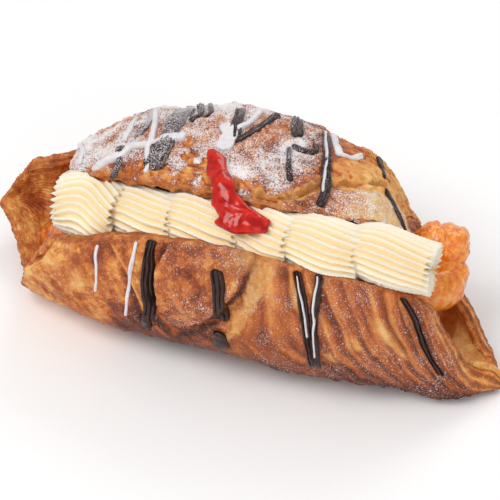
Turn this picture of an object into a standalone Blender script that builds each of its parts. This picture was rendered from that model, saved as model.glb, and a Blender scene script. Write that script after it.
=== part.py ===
"""Folded danish pastry: a crescent of laminated dough, slit along its front
top edge, filled with six piped cream shells over an apricot filling, with a
spoonful of red jam resting on the cream and the lid.

The loaf lies along X, its slit faces -Y and it rests on z = 0.  Every section
of the dough across X is one closed ring: the outer skin, the rounded edge of
the lid, the pocket, and the rounded front lip.
"""
import bpy
import numpy as np

MM = 0.001
SHIFT = (1.75, 1.8, 0.0)            # puts the origin under the middle of the box

# ---- stations of the dough along X, all in millimetres -----------------------
LEFT_TIP = -95.0
RIGHT_TIP = 91.5
STATION_X = (-95.0, -86.0, -75.0, -58.0, -30.0, 0.0, 30.0, 50.0, 60.0, 72.0, 82.0, 91.5)
FRONT_Y = (-2.0, -15.0, -27.0, -35.0, -41.0, -42.0, -40.0, -36.0, -32.0, -28.0, -22.0, -13.0)
BACK_Y = (9.0, 20.0, 25.0, 32.0, 37.5, 41.0, 37.5, 28.5, 22.0, 13.0, 2.0, -9.0)
MIDDLE_Y = (3.0, 2.0, 0.0, 0.0, 0.0, 2.0, 0.0, -3.0, -6.0, -9.0, -11.0, -12.0)
BOTTOM_Z = (14.0, 7.0, 2.0, -0.5, -0.8, -0.8, -0.8, -0.8, -0.8, -0.6, -0.3, 1.0)
MIDDLE_Z = (21.0, 22.0, 23.0, 26.0, 29.0, 31.0, 29.0, 25.0, 20.5, 13.5, 8.0, 3.0)
TOP_Z = (31.0, 33.5, 37.0, 51.5, 66.0, 69.5, 63.5, 55.5, 46.5, 33.5, 20.0, 5.0)

# ---- where the skin starts and stops round the section, degrees --------------
# 0 is the front, 90 the underside, 180 the back, 270 the top, 360 the front.
FRONT_LIP_X = (-95.0, -86.0, -75.0, -62.0, -30.0, 0.0, 30.0, 50.0, 60.0, 72.0, 82.0, 91.5)
FRONT_LIP = (105.0, 66.0, 46.0, -14.0, -27.0, -29.0, -32.0, -36.0, -50.0, -76.0, -78.0, 60.0)
LID_EDGE_X = (-95.0, -86.0, -75.0, -66.0, -60.0, -30.0, 0.0, 30.0, 50.0, 57.0, 60.5, 72.0,
              82.0, 91.5)
LID_EDGE = (118.0, 196.0, 204.0, 218.0, 284.0, 302.0, 301.0, 293.0, 284.0, 276.0, 181.0,
            174.0, 165.0, 70.0)
LOWER_SQUARENESS = 2.7
UPPER_SQUARENESS = 2.2
WALL = 5.5                           # dough thickness at the lips and in the troughs
TIP_REACH = 9.0                      # length over which the wall thins to each tip
PAD_HEIGHT = 2.6                     # tongue of dough pressed on to the front

# ---- the pocket behind the slit ----------------------------------------------
POCKET_X = (-95.0, -70.0, -60.0, -30.0, 0.0, 30.0, 60.0, 72.0, 91.5)
POCKET_FRONT = (12.0, 20.0, 26.0, 38.0, 44.0, 38.0, 26.0, 20.0, 12.0)
POCKET_LID = (12.0, 20.0, 26.0, 36.0, 40.0, 34.0, 26.0, 20.0, 12.0)
POCKET_SPREAD = 8.0

# ---- piped cream -------------------------------------------------------------
SHELL_ENDS = (-57.2, -38.5, -18.8, 4.2, 20.3, 42.3, 64.5)
SHELL_RADII = (9.6, 9.2, 9.5, 9.3, 9.3, 9.0)
SHELL_RIDGES = 20
RIDGE_DEPTH = 0.9
SPINE_X = (-60.0, -50.5, -31.0, -8.0, 10.7, 32.0, 55.0, 68.0)
SPINE_Y = (-17.0, -18.0, -20.8, -22.4, -22.6, -21.3, -16.5, -13.5)
SPINE_Z = (42.2, 43.6, 47.4, 50.8, 51.8, 52.0, 49.8, 46.8)
GAP = 0.35                           # air left between touching pieces
CHANNEL = 0.95                       # extra radius of the channel the cream lies in

# ---- apricot filling ---------------------------------------------------------
APRICOT_X = (-76.0, -68.0, -62.0, -57.0, -40.0, 0.0, 40.0, 54.0, 61.0, 66.0, 68.0, 68.5)
APRICOT_Y = (-6.0, -8.0, -10.0, -10.5, -11.5, -9.5, -10.5, -9.5, -7.0, 1.0, 11.0, 19.0)
APRICOT_Z = (12.5, 17.5, 25.0, 28.5, 33.0, 36.0, 33.0, 30.0, 29.5, 29.5, 29.5, 28.5)
APRICOT_R = (3.5, 5.0, 4.2, 4.4, 4.8, 5.6, 5.2, 4.2, 4.2, 5.4, 7.2, 6.8)
LUMP_HEIGHT = 0.7

# ---- red jam -----------------------------------------------------------------
JAM_SHARE = (0.0, 0.22, 0.45, 0.58, 0.74, 0.9, 1.0)
JAM_CENTRE_X = (-10.5, -5.5, 0.5, 4.5, 7.0, 7.5, 7.0)
JAM_HALF_WIDTH = (2.2, 3.0, 3.8, 7.6, 9.4, 8.4, 5.0)
JAM_THICKNESS = 2.6
JAM_LIFT = 1.9                       # how far it stands off the rounded edge of the lid
JAM_LID_ANGLES = (281.0, 300.0)
JAM_CREAM_ANGLES = (98.0, 146.0)


def through(stations, values, x):
    """Smooth curve through the station values that never overshoots them."""
    xs = np.asarray(stations, float)
    ys = np.asarray(values, float)
    x = np.clip(np.asarray(x, float), xs[0], xs[-1])
    step = np.diff(xs)
    rise = np.diff(ys) / step
    slope = np.zeros_like(ys)
    slope[0] = rise[0]
    slope[-1] = rise[-1]
    same = rise[:-1] * rise[1:] > 0
    before = np.where(same, rise[:-1], 1.0)
    after = np.where(same, rise[1:], 1.0)
    w1 = 2 * step[1:] + step[:-1]
    w2 = step[1:] + 2 * step[:-1]
    slope[1:-1] = np.where(same, (w1 + w2) / (w1 / before + w2 / after), 0.0)
    i = np.clip(np.searchsorted(xs, x, side="right") - 1, 0, len(step) - 1)
    t = (x - xs[i]) / step[i]
    start = (1 + 2 * t) * (1 - t) ** 2 * ys[i] + t * (1 - t) ** 2 * step[i] * slope[i]
    end = t * t * (3 - 2 * t) * ys[i + 1] + t * t * (t - 1) * step[i] * slope[i + 1]
    return start + end


def ease(x, low, high):
    """0 below low, 1 above high, smooth between."""
    t = np.clip((x - low) / (high - low), 0.0, 1.0)
    return t * t * (3 - 2 * t)


def unit(v):
    """Vectors scaled to length one."""
    return v / np.maximum(np.linalg.norm(v, axis=-1, keepdims=True), 1e-9)


def skin(x, angle):
    """Point (y, z) of the smooth outer skin at station x and section angle."""
    c = np.cos(np.radians(angle))
    s = np.sin(np.radians(angle))
    front, back, mid_y = (through(STATION_X, t, x) for t in (FRONT_Y, BACK_Y, MIDDLE_Y))
    low, mid_z, top = (through(STATION_X, t, x) for t in (BOTTOM_Z, MIDDLE_Z, TOP_Z))
    n = np.where(s > 0, LOWER_SQUARENESS, UPPER_SQUARENESS)
    reach = (np.abs(c) ** n + np.abs(s) ** n) ** (-1 / n)
    y = np.where(c > 0, mid_y - (mid_y - front) * reach * c, mid_y - (back - mid_y) * reach * c)
    z = np.where(s > 0, mid_z - (mid_z - low) * reach * s, mid_z - (top - mid_z) * reach * s)
    return np.stack([y, z], -1)


def tangent(x, angle):
    """Unit direction along the skin towards growing angle."""
    return unit(skin(x, angle + 0.4) - skin(x, angle - 0.4))


def relief(x, angle):
    """Height of the pad of dough pressed on to the front."""
    angle = np.mod(angle + 90.0, 360.0) - 90.0
    side = np.abs((x + 6.5 + 0.12 * angle) / 15.0) ** 3
    drop = np.abs((angle + 8.0) / 36.0) ** 3
    return PAD_HEIGHT * ease(1.0 - side - drop, 0.0, 0.35)


def spine(x):
    """Centre (y, z) of the piped cream at station x."""
    return np.stack([through(SPINE_X, SPINE_Y, x), through(SPINE_X, SPINE_Z, x)], -1)


def lip_arc(start, end, outward, count):
    """Rounded edge bulging outward between the two skins."""
    turn = np.linspace(0.0, np.pi, count + 2)[1:-1][None, :, None]
    middle = (start + end)[:, None] / 2
    half = (start - end)[:, None] / 2
    radius = np.linalg.norm(half, axis=-1, keepdims=True)
    return middle + half * np.cos(turn) + outward[:, None] * radius * np.sin(turn) * 0.9


def clear_channel(ring, x):
    """Push the ring out of the round channel in which the cream lies."""
    radius = through(SPINE_X[1:-1], SHELL_RADII, x) + CHANNEL + 0.7 * ease(np.abs(x), 48.0, 58.0)
    radius = radius * ease(x, -70.0, -62.0) * ease(-x, -76.0, -68.0)
    away = ring - spine(x)[:, None]
    distance = np.linalg.norm(away, axis=-1, keepdims=True)
    return spine(x)[:, None] + away / distance * np.maximum(distance, radius[:, None, None])


def dough_rings(x, outer_count, inner_count, lip_count):
    """Closed section rings (station, point, yz) of the dough."""
    first = through(FRONT_LIP_X, FRONT_LIP, x)
    last = through(LID_EDGE_X, LID_EDGE, x)
    taper = np.sqrt(1 - (1 - np.clip((x - LEFT_TIP) / TIP_REACH, 0, 1)) ** 2)
    taper = taper * np.sqrt(1 - (1 - np.clip((RIGHT_TIP - x) / TIP_REACH, 0, 1)) ** 2)

    def layer(count):
        share = np.linspace(0.0, 1.0, count)[None, :]
        angle = first[:, None] + share * (last - first)[:, None]
        place = x[:, None] + 0 * angle
        along = tangent(place, angle)
        inward = np.stack([-along[..., 1], along[..., 0]], -1)
        return place, angle, along, inward

    place, angle, along, inward = layer(outer_count)
    outer = skin(place, angle) - inward * (relief(place, angle) * taper[:, None])[..., None]
    inner_place, inner_angle, _, inner_inward = layer(inner_count)
    wall = (WALL * taper)[:, None, None]
    shell = skin(inner_place, inner_angle) + inner_inward * wall
    start = shell[:, 0]
    end = shell[:, -1]
    chord = unit(end - start)
    deep = np.stack([chord[:, 1], -chord[:, 0]], -1)
    pull_front = start + deep * through(POCKET_X, POCKET_FRONT, x)[:, None] - chord * POCKET_SPREAD
    pull_lid = end + deep * through(POCKET_X, POCKET_LID, x)[:, None] + chord * POCKET_SPREAD
    t = np.linspace(0.0, 1.0, inner_count)[None, :, None]
    pocket = (1 - t) ** 3 * start[:, None] + 3 * (1 - t) ** 2 * t * pull_front[:, None]
    pocket = pocket + 3 * (1 - t) * t * t * pull_lid[:, None] + t ** 3 * end[:, None]
    trough = (ease(-x, 58.0, 72.0) + ease(x, 60.0, 72.0))[:, None, None]
    inner = (1 - trough) * pocket + trough * shell
    lid_edge = lip_arc(outer[:, -1], end, along[:, -1], lip_count)
    front_lip = lip_arc(start, outer[:, 0], -along[:, 0], lip_count)
    ring = np.concatenate([outer, lid_edge, inner[:, ::-1], front_lip], 1)
    ring = clear_channel(ring, x)
    ring[..., 1] = np.maximum(ring[..., 1], 0.0)
    return ring


def at_stations(x, ring):
    """Rings of (y, z) given their station x."""
    place = np.broadcast_to(x[:, None, None], ring.shape[:2] + (1,))
    return np.concatenate([place, ring], -1)


def closed_tube(rings):
    """Vertices and faces of a tube of rings, its two ends drawn to a point."""
    stations, points = rings.shape[:2]
    body = rings.reshape(-1, 3)
    ends = np.concatenate([body[:points], body[-points:]]).reshape(2, points, 3).mean(1)
    vertices = np.concatenate([body, ends])
    index = np.arange(stations * points).reshape(stations, points)
    after = np.roll(index, -1, axis=1)
    quads = np.stack([index[:-1], index[1:], after[1:], after[:-1]], -1).reshape(-1, 4)
    left = np.full(points, stations * points)
    right = left + 1
    caps = [np.stack([left, index[0], after[0]], -1), np.stack([right, after[-1], index[-1]], -1)]
    return vertices, quads.tolist() + np.concatenate(caps).tolist()


def add_solid(name, vertices, faces, material):
    """One named mesh object with its own material, faces turned outward."""
    vertices = (vertices + np.asarray(SHIFT)) * MM
    mesh = bpy.data.meshes.new(name)
    mesh.from_pydata(vertices.tolist(), [], faces)
    mesh.validate()
    triangles = np.array([(p.vertices[0], p.vertices[i], p.vertices[i + 1])
                          for p in mesh.polygons for i in range(1, len(p.vertices) - 1)])
    a, b, c = (vertices[triangles[:, i]] for i in range(3))
    if np.einsum("ij,ij->i", a, np.cross(b, c)).sum() < 0:
        mesh.flip_normals()
    mesh.materials.append(material)
    piece = bpy.data.objects.new(name, mesh)
    bpy.context.collection.objects.link(piece)
    mesh.shade_smooth()
    return piece


def add_material(name, colour, roughness):
    """A plain Principled material."""
    material = bpy.data.materials.new(name)
    material.use_nodes = True
    shader = material.node_tree.nodes["Principled BSDF"]
    shader.inputs["Base Color"].default_value = (*colour, 1.0)
    shader.inputs["Roughness"].default_value = roughness
    shader.inputs["Metallic"].default_value = 0.0
    return material


def build_dough():
    """The folded dough: boat-shaped left end, lid, pocket, and pointed right end."""
    left = LEFT_TIP + 15.0 * (1 - np.cos(np.linspace(0.12, np.pi / 2, 7)))
    right = RIGHT_TIP - 13.0 * (1 - np.cos(np.linspace(np.pi / 2, 0.12, 7)))
    x = np.concatenate([left, np.linspace(-75.0, 74.0, 32), right])
    vertices, faces = closed_tube(at_stations(x, dough_rings(x, 30, 17, 2)))
    add_solid("pastry", vertices, faces, add_material("baked_dough", (0.52, 0.24, 0.075), 0.5))


def build_cream():
    """Six ridged shells in a row, each pinched where it starts and blunt where it ends."""
    material = add_material("piped_cream", (0.90, 0.80, 0.55), 0.55)
    share = np.array([0.0, 0.08, 0.22, 0.42, 0.68, 0.9, 1.0])
    swell = np.array([0.55, 0.76, 0.90, 1.0, 1.0, 0.97, 0.84])
    count = 2 * SHELL_RIDGES
    turn = np.arange(count) * 2 * np.pi / count
    ridge = np.where(np.arange(count) % 2 == 0, 0.0, -RIDGE_DEPTH)
    for number, radius in enumerate(SHELL_RADII, 1):
        start = SHELL_ENDS[number - 1] + GAP / 2
        end = SHELL_ENDS[number] - GAP / 2
        x = start + (end - start) * share
        reach = radius * swell[:, None] + ridge * ease(swell, 0.5, 0.8)[:, None]
        centre = spine(x)[:, None]
        ring = centre + reach[..., None] * np.stack([np.cos(turn), np.sin(turn)], -1)
        vertices, faces = closed_tube(at_stations(x, ring))
        add_solid("cream_shell_%d" % number, vertices, faces, material)


def build_apricot():
    """The filling that runs from the left trough through the pocket to the right mound."""
    control = np.stack([APRICOT_X, APRICOT_Y, APRICOT_Z], -1)
    length = np.concatenate([[0.0], np.cumsum(np.linalg.norm(np.diff(control, axis=0), axis=1))])
    share = (1 - np.cos(np.linspace(0.0, np.pi, 30)[1:-1])) / 2
    station = (length[-1] * (0.35 * share + 0.65 * np.linspace(0.004, 0.996, share.size)))
    path = np.stack([through(length, control[:, k], station) for k in range(3)], -1)
    ahead = unit(np.gradient(path, axis=0))
    side = unit(np.cross(ahead, [0.0, 0.0, 1.0]))
    up = np.cross(side, ahead)
    turn = np.linspace(0.0, 2 * np.pi, 18, endpoint=False)[None, :]
    rounding = np.sqrt(1 - (1 - np.clip(station / 5.0, 0, 1)) ** 2)
    rounding = rounding * np.sqrt(1 - (1 - np.clip((length[-1] - station) / 7.0, 0, 1)) ** 2)
    lumps = np.sin(0.9 * station[:, None] + 3 * turn) * np.cos(4 * turn - 0.5 * station[:, None])
    radius = through(length, APRICOT_R, station)[:, None] + LUMP_HEIGHT * (lumps - 1)
    radius = (radius * rounding[:, None])[..., None]
    across = np.cos(turn)[..., None] * side[:, None] + np.sin(turn)[..., None] * up[:, None]
    vertices, faces = closed_tube(path[:, None] + radius * across)
    add_solid("apricot_filling", vertices, faces, add_material("apricot", (0.80, 0.22, 0.03), 0.3))


def jam_bed(x, share):
    """Surface the jam lies on: down the lid, over its edge and on to the cream."""
    lid_angle = JAM_LID_ANGLES[0] + np.ptp(JAM_LID_ANGLES) * np.clip(share / 0.45, 0, 1)
    cream_angle = JAM_CREAM_ANGLES[0] + np.ptp(JAM_CREAM_ANGLES) * np.clip(share / 0.45 - 1.22, 0, 1)
    turn = np.radians(cream_angle)
    outward = np.stack([tangent(x, lid_angle)[..., 1], -tangent(x, lid_angle)[..., 0]], -1)
    lid = skin(x, lid_angle) + outward * GAP
    cream_radius = max(SHELL_RADII[2:4]) + GAP
    cream = spine(x) + cream_radius * np.stack([np.cos(turn), np.sin(turn)], -1)
    onto = ease(share, 0.42, 0.58)[..., None]
    over = JAM_LIFT * np.exp(-((share - 0.50) / 0.11) ** 2)[..., None]
    return (1 - onto) * lid + onto * cream + over * np.array([-0.6, 0.8])


def build_jam():
    """A spoonful of red jam draped from the lid on to the cream."""
    share = np.sort(np.concatenate([np.linspace(0.02, 0.98, 13), [0.005, 0.995]]))[:, None]
    side = np.cos(np.linspace(0, 2 * np.pi, 16, endpoint=False))[None, :]
    upper = np.sin(np.linspace(0, 2 * np.pi, 16, endpoint=False))[None, :]
    rounding = np.sqrt(1 - np.abs(2 * share - 1) ** 6)
    x = through(JAM_SHARE, JAM_CENTRE_X, share)
    x = x + through(JAM_SHARE, JAM_HALF_WIDTH, share) * rounding * side
    place = share + 0 * x
    bed = jam_bed(x, place)
    along = unit(jam_bed(x, place + 0.01) - jam_bed(x, place - 0.01))
    outward = np.stack([along[..., 1], -along[..., 0]], -1)
    height = JAM_THICKNESS * rounding * np.clip(upper, 0, 1)
    ring = bed + outward * height[..., None]
    rings = np.concatenate([x[..., None], ring], -1)
    vertices, faces = closed_tube(rings)
    add_solid("red_jam", vertices, faces, add_material("red_jam", (0.62, 0.02, 0.02), 0.15))


for old in list(bpy.data.objects):
    bpy.data.objects.remove(old)
build_dough()
build_cream()
build_apricot()
build_jam()
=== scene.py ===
"""A filled danish pastry: flaky baked dough folded over piped cream and apricot,
finished with red jam, chocolate and icing lines and powdered sugar.

All shapes are worked out in millimetres in the pastry's own frame: the loaf
lies along X, its slit faces -Y and it rests on z = 0.  Round the section of the
dough an angle of 0 is the front, 90 the underside, 180 the back, 270 the top.
"""

import bpy
import numpy as np
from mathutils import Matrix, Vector


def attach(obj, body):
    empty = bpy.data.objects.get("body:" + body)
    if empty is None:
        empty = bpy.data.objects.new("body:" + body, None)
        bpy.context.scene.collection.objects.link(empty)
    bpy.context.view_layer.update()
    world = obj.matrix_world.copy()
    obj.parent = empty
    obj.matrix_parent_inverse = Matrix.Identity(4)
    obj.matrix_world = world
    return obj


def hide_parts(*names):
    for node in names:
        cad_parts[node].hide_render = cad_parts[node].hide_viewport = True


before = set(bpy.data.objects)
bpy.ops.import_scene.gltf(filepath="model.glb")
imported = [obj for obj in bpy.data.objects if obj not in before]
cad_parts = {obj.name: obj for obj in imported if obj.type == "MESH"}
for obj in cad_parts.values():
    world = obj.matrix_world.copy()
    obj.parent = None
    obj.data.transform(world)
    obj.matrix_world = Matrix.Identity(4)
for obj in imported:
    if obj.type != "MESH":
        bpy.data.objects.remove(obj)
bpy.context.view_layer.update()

MM = 0.001
SHIFT = np.array([1.75, 1.8, 0.0])
MM_PER_DEGREE = 0.75     # about what one degree round the dough's section measures

# ---- the loaf's stations along X ---------------------------------------------
LEFT_TIP = -95.0
RIGHT_TIP = 91.5
STATION_X = (-95.0, -86.0, -75.0, -58.0, -30.0, 0.0, 30.0, 50.0, 60.0, 72.0, 82.0, 91.5)
FRONT_Y = (-2.0, -15.0, -27.0, -35.0, -41.0, -42.0, -40.0, -36.0, -32.0, -28.0, -22.0, -13.0)
BACK_Y = (9.0, 20.0, 25.0, 32.0, 37.5, 41.0, 37.5, 28.5, 22.0, 13.0, 2.0, -9.0)
MIDDLE_Y = (3.0, 2.0, 0.0, 0.0, 0.0, 2.0, 0.0, -3.0, -6.0, -9.0, -11.0, -12.0)
BOTTOM_Z = (14.0, 7.0, 2.0, -0.5, -0.8, -0.8, -0.8, -0.8, -0.8, -0.6, -0.3, 1.0)
MIDDLE_Z = (21.0, 22.0, 23.0, 26.0, 29.0, 31.0, 29.0, 25.0, 20.5, 13.5, 8.0, 3.0)
TOP_Z = (31.0, 33.5, 37.0, 51.5, 66.0, 69.5, 63.5, 55.5, 46.5, 33.5, 20.0, 5.0)
FRONT_LIP_X = (-95.0, -86.0, -75.0, -69.0, -63.0, -57.0, -46.0, -30.0, 0.0,
               30.0, 50.0, 60.0, 67.0, 72.0, 77.0, 80.0, 85.0, 91.5)
FRONT_LIP = (105.0, 80.0, 52.0, 22.0, -8.0, -23.0, -24.5, -29.5, -32.0,
             -35.0, -39.0, -47.0, -51.0, -38.0, -22.0, -2.0, 30.0, 60.0)
LID_EDGE_X = (-95.0, -86.0, -75.0, -66.0, -60.0, -30.0, 0.0, 30.0, 50.0, 57.0, 60.5, 72.0,
              82.0, 91.5)
LID_EDGE = (118.0, 196.0, 204.0, 218.0, 282.0, 297.0, 300.0, 293.0, 284.0, 276.0, 181.0,
            174.0, 165.0, 70.0)
LOWER_SQUARENESS = 2.7
UPPER_SQUARENESS = 2.2
WALL = 5.5
TIP_REACH = 9.0
SHEET = 2.5              # how far the plain back of a dough piece lies behind its face
END_CLEARANCE = 0.12     # the first and last ring stand this far inside the tips
POCKET_X = (-95.0, -70.0, -60.0, -30.0, 0.0, 30.0, 60.0, 72.0, 91.5)
POCKET_FRONT = (12.0, 20.0, 26.0, 38.0, 44.0, 38.0, 26.0, 20.0, 12.0)
POCKET_LID = (12.0, 20.0, 26.0, 36.0, 40.0, 34.0, 26.0, 20.0, 12.0)
POCKET_SPREAD = 8.0

# ---- cream, apricot, red jam -------------------------------------------------
SHELL_ENDS = (-57.2, -38.5, -18.8, 4.2, 20.3, 42.3, 64.5)
SHELL_RADII = (11.8, 10.3, 10.4, 10.1, 10.0, 9.8)
CHANNEL_RADII = (9.6, 9.2, 9.5, 9.3, 9.3, 9.0)
SHELL_RIDGES = 24
SPINE_X = (-60.0, -50.5, -31.0, -8.0, 10.7, 32.0, 55.0, 68.0)
SPINE_Y = (-18.0, -19.3, -21.4, -23.0, -23.2, -21.9, -17.1, -14.1)
SPINE_Z = (42.0, 43.3, 47.2, 50.6, 51.6, 51.8, 49.8, 47.0)
CHANNEL = 0.35
APRICOT_X = (-77.0, -70.0, -63.0, -57.0, -40.0, 0.0, 40.0, 54.0, 61.0, 65.0, 66.5, 67.5)
APRICOT_Y = (2.0, -1.0, -7.0, -10.5, -11.5, -9.5, -10.5, -9.5, -7.0, -1.0, 6.0, 12.0)
APRICOT_Z = (7.5, 10.0, 20.0, 28.5, 33.0, 36.0, 33.0, 30.0, 29.0, 27.0, 25.5, 25.0)
APRICOT_R = (4.2, 6.2, 5.8, 4.6, 4.8, 5.6, 5.2, 5.4, 6.6, 7.2, 6.6, 5.5)
MOUND_LUMPS = (((65.0, 12.0, 35.2), (7.4, 7.2, 6.6)), ((65.8, 5.5, 27.4), (7.0, 8.6, 7.0)),
               ((59.5, 9.0, 36.0), (6.5, 7.0, 7.0)), ((62.0, -1.0, 30.0), (6.0, 6.0, 6.0)))
JAM_SHARE = (0.0, 0.22, 0.45, 0.58, 0.74, 0.9, 1.0)
JAM_CENTRE_X = (-10.0, -5.5, -0.5, 4.0, 7.0, 7.5, 7.0)
JAM_HALF_WIDTH = (3.2, 3.8, 4.2, 8.0, 9.6, 8.4, 5.0)
JAM_LID_ANGLES = (282.5, 300.0)
JAM_CREAM_ANGLES = (98.0, 146.0)
JAM_LIFT = 1.9
JAM_FOLD = 0.45          # share of the jam's length that lies on the lid
JAM_THICKNESS = 2.9


# ============================ curves and noise =================================
def through(stations, values, x):
    """Smooth curve through the station values that never overshoots them."""
    xs = np.asarray(stations, float)
    ys = np.asarray(values, float)
    x = np.clip(np.asarray(x, float), xs[0], xs[-1])
    step = np.diff(xs)
    rise = np.diff(ys) / step
    slope = np.zeros_like(ys)
    slope[0] = rise[0]
    slope[-1] = rise[-1]
    same = rise[:-1] * rise[1:] > 0
    before = np.where(same, rise[:-1], 1.0)
    after = np.where(same, rise[1:], 1.0)
    w1 = 2 * step[1:] + step[:-1]
    w2 = step[1:] + 2 * step[:-1]
    slope[1:-1] = np.where(same, (w1 + w2) / (w1 / before + w2 / after), 0.0)
    i = np.clip(np.searchsorted(xs, x, side="right") - 1, 0, len(step) - 1)
    t = (x - xs[i]) / step[i]
    start = (1 + 2 * t) * (1 - t) ** 2 * ys[i] + t * (1 - t) ** 2 * step[i] * slope[i]
    end = t * t * (3 - 2 * t) * ys[i + 1] + t * t * (t - 1) * step[i] * slope[i + 1]
    return start + end


def ease(x, low, high):
    """0 below low, 1 above high, smooth between."""
    t = np.clip((x - low) / (high - low), 0.0, 1.0)
    return t * t * (3 - 2 * t)


def unit(v):
    """Vectors scaled to length one."""
    return v / np.maximum(np.linalg.norm(v, axis=-1, keepdims=True), 1e-9)


def corner_value(cell, seed):
    """A fixed pseudo-random number from 0 to 1 for each whole-numbered lattice corner."""
    c = cell.astype(np.int64)
    h = c[..., 0] * 374761393 + c[..., 1] * 668265263 + c[..., 2] * 1440662683 + seed * 974634777
    h = h & 0xFFFFFFFF
    h = ((h ^ (h >> 13)) * 1274126177) & 0xFFFFFFFF
    h = h ^ (h >> 16)
    return h / 4294967296.0


def noise(p, size, seed):
    """Smooth noise from -1 to 1: lattice values blended with an S curve between corners."""
    q = p / size + 100.0
    cell = np.floor(q)
    f = q - cell
    f = f * f * (3 - 2 * f)
    total = 0.0
    for dx in (0, 1):
        for dy in (0, 1):
            for dz in (0, 1):
                share = np.where(dx, f[..., 0], 1 - f[..., 0])
                share = share * np.where(dy, f[..., 1], 1 - f[..., 1])
                share = share * np.where(dz, f[..., 2], 1 - f[..., 2])
                total = total + share * corner_value(cell + np.array([dx, dy, dz]), seed)
    return 2 * total - 1


def cloud(p, size, seed):
    """Three sheets of noise, each half the size and half the weight of the last."""
    sum3 = noise(p, size, seed) + 0.5 * noise(p, size / 2, seed + 1)
    return (sum3 + 0.25 * noise(p, size / 4, seed + 2)) / 1.4


# ============================ shape of the dough ===============================
def skin(x, angle):
    """Point (x, y, z) of the smooth outer skin: a squared-off oval at every station."""
    c = np.cos(np.radians(angle))
    s = np.sin(np.radians(angle))
    front, back, mid_y = (through(STATION_X, t, x) for t in (FRONT_Y, BACK_Y, MIDDLE_Y))
    low, mid_z, top = (through(STATION_X, t, x) for t in (BOTTOM_Z, MIDDLE_Z, TOP_Z))
    n = np.where(s > 0, LOWER_SQUARENESS, UPPER_SQUARENESS)
    reach = (np.abs(c) ** n + np.abs(s) ** n) ** (-1 / n)
    y = np.where(c > 0, mid_y - (mid_y - front) * reach * c, mid_y - (back - mid_y) * reach * c)
    z = np.where(s > 0, mid_z - (mid_z - low) * reach * s, mid_z - (top - mid_z) * reach * s)
    return np.stack([x + 0 * y, y, z], -1)


def tangent(x, angle):
    """Unit direction along the skin towards growing angle."""
    return unit(skin(x, angle + 0.4) - skin(x, angle - 0.4))


def skin_normal(x, angle):
    """Outward unit normal: round the section crossed with along X."""
    along = skin(x + 0.4, angle) - skin(x - 0.4, angle)
    return unit(np.cross(tangent(x, angle), along))


def trim_right_end(p):
    """Draws the back of the lid's right end in, so that the end is cut on a slant."""
    x, y, z = p[..., 0], p[..., 1], p[..., 2]
    pull = 6.5 * ease(x, 34.0, 60.0) * (1 - ease(x, 66.0, 80.0))
    pull = pull * ease(y, -16.0, 10.0) * ease(z, 14.0, 34.0)
    return np.stack([x - pull, y, z], -1)


def spine(x):
    """Centre (x, y, z) of the piped cream at station x."""
    return np.stack([x, through(SPINE_X, SPINE_Y, x), through(SPINE_X, SPINE_Z, x)], -1)


def taper(x):
    """1 along the loaf, falling as a quarter circle to 0 at each tip."""
    left = np.sqrt(1 - (1 - np.clip((x - LEFT_TIP) / TIP_REACH, 0, 1)) ** 2)
    return left * np.sqrt(1 - (1 - np.clip((RIGHT_TIP - x) / TIP_REACH, 0, 1)) ** 2)


def pocket_wall(x, share):
    """Inner face at stations x, share 0 at the front lip and 1 at the edge of the lid.

    In the middle it is a cubic arc that dips behind the slit; towards both ends
    it becomes the outer skin moved inward by the wall thickness.
    """
    first = through(FRONT_LIP_X, FRONT_LIP, x)[:, None]
    last = through(LID_EDGE_X, LID_EDGE, x)[:, None]
    wall = ((WALL + 3.2 * ease(x, 62.0, 74.0)) * taper(x))[:, None, None]
    place = x[:, None] + 0 * share[None]

    def inside(angle):
        along = tangent(place[:, : angle.shape[1]], angle)
        inward = np.stack([0 * along[..., 0], -along[..., 2], along[..., 1]], -1)
        return skin(place[:, : angle.shape[1]], angle) + inward * wall

    shell = inside(first + share[None] * (last - first))
    start = inside(first)
    end = inside(last)
    chord = unit(end - start)
    deep = np.stack([0 * chord[..., 0], chord[..., 2], -chord[..., 1]], -1)
    front_pull = through(POCKET_X, POCKET_FRONT, x)[:, None, None]
    lid_pull = through(POCKET_X, POCKET_LID, x)[:, None, None]
    second = start + deep * front_pull - chord * POCKET_SPREAD
    third = end + deep * lid_pull + chord * POCKET_SPREAD
    t = share[None, :, None]
    arc = (1 - t) ** 3 * start + 3 * (1 - t) ** 2 * t * second + 3 * (1 - t) * t * t * third
    arc = arc + t ** 3 * end
    trough = (ease(-x, 58.0, 72.0) + ease(x, 60.0, 72.0))[:, None, None]
    return (1 - trough) * arc + trough * shell


def lip_arc(start, end, outward, share):
    """Half a circle, a little flattened, bulging outward from start to end of a lip."""
    turn = np.pi * share[None, :, None]
    middle = (start + end) / 2
    half = (start - end) / 2
    radius = np.linalg.norm(half, axis=-1, keepdims=True)
    return middle + half * np.cos(turn) + outward * radius * np.sin(turn) * 0.9


def clear_channel(points):
    """Push points out of the round channel in which the cream lies."""
    x = points[..., 0]
    radius = through(SPINE_X[1:-1], CHANNEL_RADII, x) + CHANNEL
    radius = radius * ease(x, -70.0, -62.0) * ease(-x, -76.0, -68.0)
    away = points - spine(x)
    distance = np.linalg.norm(away, axis=-1)
    return spine(x) + away * (np.maximum(distance, radius) / distance)[..., None]


def near(x, angle, *corners):
    """Distance in millimetres from a line through (station, angle) corners.

    One degree round the section counts as MM_PER_DEGREE.
    """
    p = np.stack([x, MM_PER_DEGREE * angle], -1)
    best = np.full(x.shape, 1e3)
    for a, b in zip(corners[:-1], corners[1:]):
        a = np.array([a[0], MM_PER_DEGREE * a[1]])
        b = np.array([b[0], MM_PER_DEGREE * b[1]])
        t = np.clip((p - a) @ (b - a) / ((b - a) @ (b - a)), 0, 1)
        best = np.minimum(best, np.linalg.norm(p - a - t[..., None] * (b - a), axis=-1))
    return best


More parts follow.
